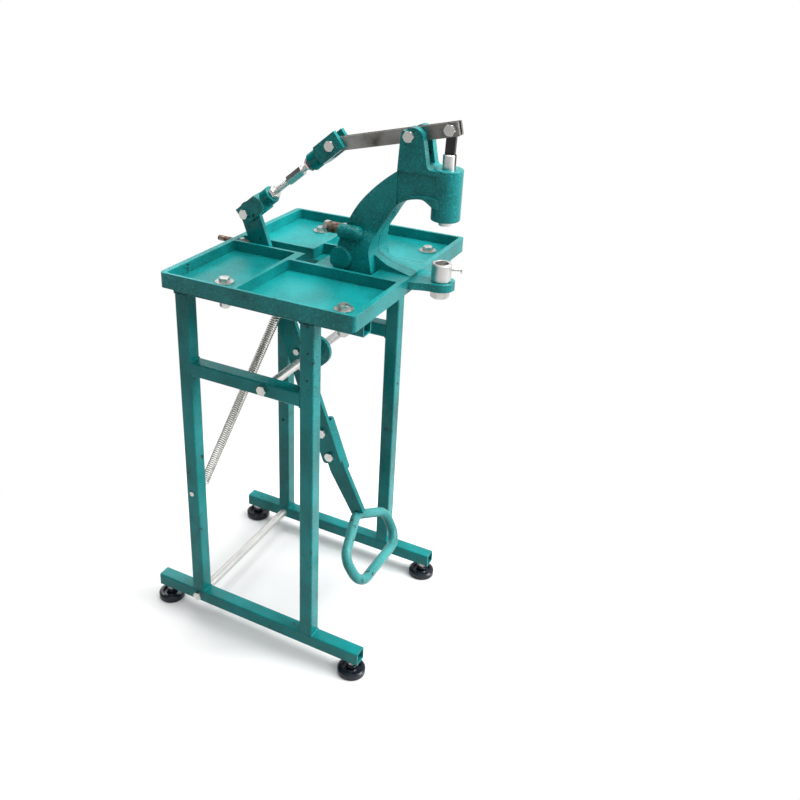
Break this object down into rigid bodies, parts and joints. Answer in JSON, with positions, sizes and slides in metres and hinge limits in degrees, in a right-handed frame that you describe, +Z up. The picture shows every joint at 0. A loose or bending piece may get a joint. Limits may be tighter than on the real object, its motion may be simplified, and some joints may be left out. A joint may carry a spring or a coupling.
{
  "type": "button press",
  "caption": "Foot-operated button press: cast frame with ram, die holder and tray table on a square-tube stand, worked by a pedal lever, a pull link and a top lever.",
  "frame": {"origin": "on the floor under the centre of the whole machine's box", "axes": "+Z up, -Y towards the operator (the ram and die holder side), +X to the operator's right"},
  "size_m": [0.5, 0.6158, 1.1407],
  "materials": {
    "teal_enamel": "semi-gloss enamel with chips",
    "teal_casting": "hammered gloss enamel on a casting",
    "zinc": "zinc plated, slightly worn",
    "bright_steel": "turned and polished",
    "worn_steel": "raw steel with brown wear",
    "rusty_steel": "rusty",
    "black_steel": "black oxide",
    "black_plastic": "gloss",
    "bronze": "turned",
    "grey_enamel": "semi-gloss enamel, worn where the foot rests"
  },
  "bodies": {
    "stand": {"base_bar_left": "teal_enamel", "base_bar_right": "teal_enamel", "leg_rear_left": "teal_enamel", "leg_rear_right": "teal_enamel", "leg_front_left": "teal_enamel", "leg_front_right": "teal_enamel", "crossbar_left": "teal_enamel", "crossbar_right": "teal_enamel", "top_rail_left": "teal_enamel", "top_rail_right": "teal_enamel", "tie_rod": "bright_steel", "pivot_shaft": "bright_steel", "rod_end_bolts": "zinc", "foot_pads": "black_plastic", "foot_studs": "zinc", "stand_nuts": "zinc", "table": "teal_casting", "table_floor": "teal_casting", "table_bolts": "zinc", "table_washers": "zinc", "c_frame": "teal_casting", "ram_barrel": "teal_casting", "c_frame_screws": "zinc", "front_stop_bolt": "zinc", "front_stop_nut": "zinc", "front_stop_sleeve": "rusty_steel", "rear_stop_rod": "rusty_steel", "rear_stop_nut": "zinc", "die_holder": "bright_steel", "die_holder_nut": "zinc", "shaft_collars": "zinc", "collar_screws": "zinc", "spring_screw": "zinc", "top_pivot_bolt": "zinc", "top_pivot_nut": "zinc"},
    "pedal_lever": {"pedal_lever": "teal_enamel", "hub": "teal_casting", "hub_bush": "bronze", "pedal_arm": "teal_enamel", "splice_plate": "teal_enamel", "lever_bolts": "zinc", "lever_nuts": "zinc", "pedal_loop": "grey_enamel", "spring_anchor": "zinc"},
    "top_lever": {"top_lever_bars": "worn_steel", "lever_spacers": "worn_steel", "drop_link_bolt": "zinc", "drop_link_nut": "zinc"},
    "pull_link": {"upper_clevis": "teal_enamel", "lower_clevis": "teal_enamel", "clevis_bolts": "zinc", "clevis_nuts": "zinc", "link_rods": "bright_steel", "adjuster_sleeve": "bright_steel", "lock_nuts": "zinc"},
    "drop_link": {"drop_link": "black_steel"},
    "ram": {"ram": "bright_steel", "ram_pin": "bright_steel"},
    "return_spring": {"return_spring": "worn_steel"},
    "die_screw": {"die_screw": "zinc"}
  },
  "joints": [
    {"name": "pedal", "type": "hinge", "parent": "stand", "child": "pedal_lever", "pos_m": [0, 0.00589, 0.632], "axis": [1, 0, 0], "range_deg": [0, 12], "stiffness_Nm_per_rad": 9, "springref_deg": -126.05, "deforming": ["return_spring"]},
    {"name": "top_pivot", "type": "hinge", "parent": "stand", "child": "top_lever", "pos_m": [0, -0.19661, 1.1095], "axis": [1, 0, 0], "range_deg": [0, 29.5]},
    {"name": "pull_link_pin", "type": "hinge", "parent": "top_lever", "child": "pull_link", "pos_m": [0, -0.03535, 1.07227], "axis": [1, 0, 0], "range_deg": [-48.7, 0]},
    {"name": "drop_link_pin", "type": "hinge", "parent": "top_lever", "child": "drop_link", "pos_m": [0, -0.26579, 1.12547], "axis": [1, 0, 0], "range_deg": [-29, 0]},
    {"name": "ram_slide", "type": "slide", "parent": "stand", "child": "ram", "axis": [0, 0, -1], "range_m": [0, 0.0362]},
    {"name": "spring_swing", "type": "hinge", "parent": "stand", "child": "return_spring", "pos_m": [0, 0.19239, 0.328], "axis": [1, 0, 0], "range_deg": [0, 2.1]},
    {"name": "die_screw_turn", "type": "hinge", "parent": "stand", "child": "die_screw", "pos_m": [0, -0.26411, 0.869], "axis": [0.2419, -0.9703, 0], "range_deg": [0, 720]}
  ],
  "couplings": [
    {"joint": "top_pivot", "follows": "pedal", "ratio": 2.4546},
    {"joint": "pull_link_pin", "follows": "pedal", "ratio": -4.0487},
    {"joint": "drop_link_pin", "follows": "pedal", "ratio": -2.4097},
    {"joint": "ram_slide", "follows": "pedal", "m_per_rad": 0.1723},
    {"joint": "spring_swing", "follows": "pedal", "ratio": 0.1611}
  ]
}
